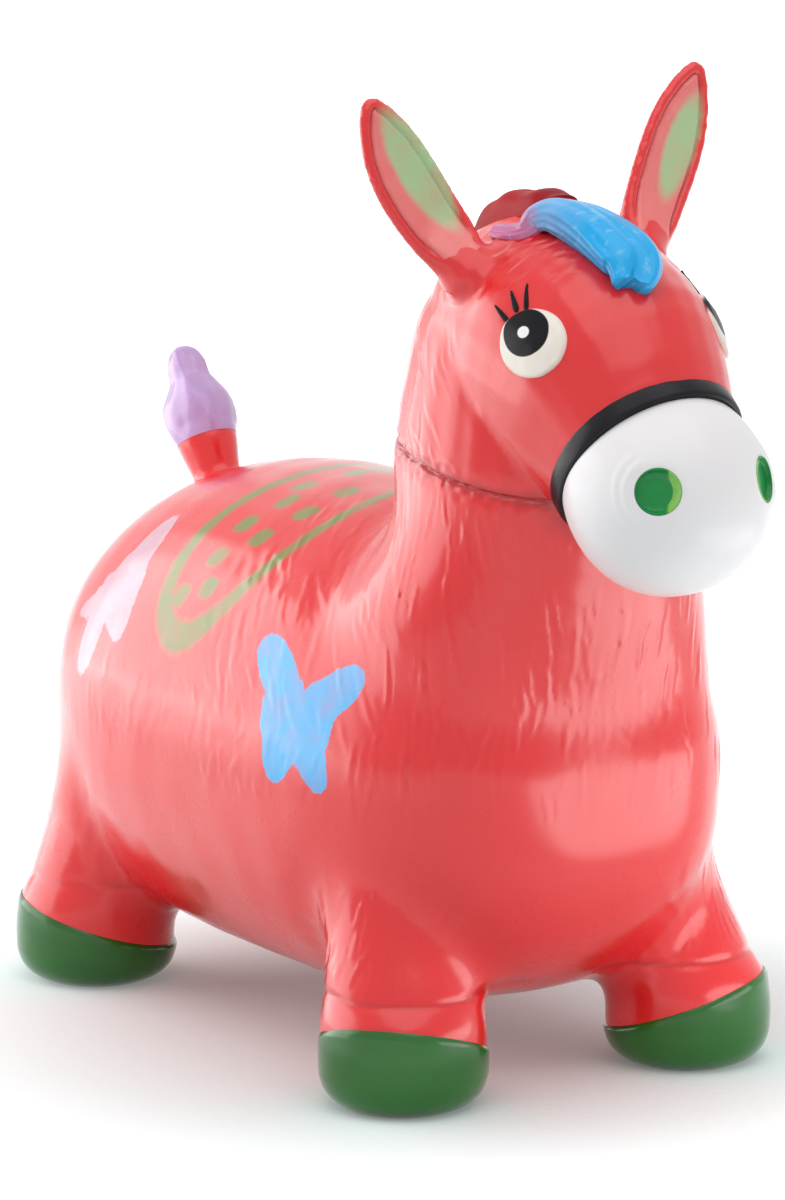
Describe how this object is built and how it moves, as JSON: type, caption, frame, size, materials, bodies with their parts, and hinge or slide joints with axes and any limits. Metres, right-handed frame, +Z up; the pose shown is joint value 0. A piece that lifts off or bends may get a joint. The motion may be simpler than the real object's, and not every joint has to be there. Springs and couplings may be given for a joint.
{
  "type": "inflatable bouncy horse",
  "caption": "Inflatable ride-on horse for a small child, with short splayed legs, leaf-shaped ears to hold, a stub tail, a banded muzzle and a stopper valve in the belly.",
  "frame": {"origin": "on the ground, under the middle of the horse's overall length and width", "axes": "+Z up; the horse looks along -Y and its tail is at +Y; +X is the horse's left side"},
  "size_m": [0.2672, 0.552, 0.532],
  "materials": {
    "red_skin": "gloss",
    "green_hoof": "gloss",
    "white_muzzle": "gloss",
    "black_noseband": "gloss",
    "dark_red_mane": "gloss",
    "blue_forelock": "gloss",
    "eye_paint": "gloss",
    "nostril_green": "gloss",
    "purple_tuft": "gloss",
    "valve_rubber": "satin",
    "stopper_plastic": "satin"
  },
  "bodies": {
    "body": {"torso": "red_skin", "neck": "red_skin", "head": "red_skin", "muzzle": "white_muzzle", "noseband": "black_noseband", "mane": "dark_red_mane", "forelock": "blue_forelock", "eye_left": "eye_paint", "eye_right": "eye_paint", "nostril_left": "nostril_green", "nostril_right": "nostril_green", "fore_leg_left": "red_skin", "fore_leg_right": "red_skin", "rear_leg_left": "red_skin", "rear_leg_right": "red_skin", "fore_hoof_left": "green_hoof", "fore_hoof_right": "green_hoof", "rear_hoof_left": "green_hoof", "rear_hoof_right": "green_hoof", "valve_seat": "valve_rubber"},
    "ear_left": {"ear_left": "red_skin"},
    "ear_right": {"ear_right": "red_skin"},
    "tail": {"tail_stem": "red_skin", "tail_tuft": "purple_tuft"},
    "valve_plug": {"valve_plug": "stopper_plastic"}
  },
  "joints": [
    {"name": "ear_left_flex", "type": "hinge", "parent": "body", "child": "ear_left", "pos_m": [0.05095, -0.11652, 0.43683], "axis": [0.8851, -0.0344, -0.4641], "range_deg": [-15, 15], "stiffness_Nm_per_rad": 1},
    {"name": "ear_right_flex", "type": "hinge", "parent": "body", "child": "ear_right", "pos_m": [-0.05095, -0.11652, 0.43683], "axis": [0.8904, 0.0339, 0.454], "range_deg": [-15, 15], "stiffness_Nm_per_rad": 1},
    {"name": "tail_flex", "type": "hinge", "parent": "body", "child": "tail", "pos_m": [0, 0.224, 0.26519], "axis": [1, 0, 0], "range_deg": [-20, 15], "stiffness_Nm_per_rad": 1},
    {"name": "valve_plug_pull", "type": "slide", "parent": "body", "child": "valve_plug", "axis": [0, 0, -1], "range_m": [0, 0.022]}
  ]
}
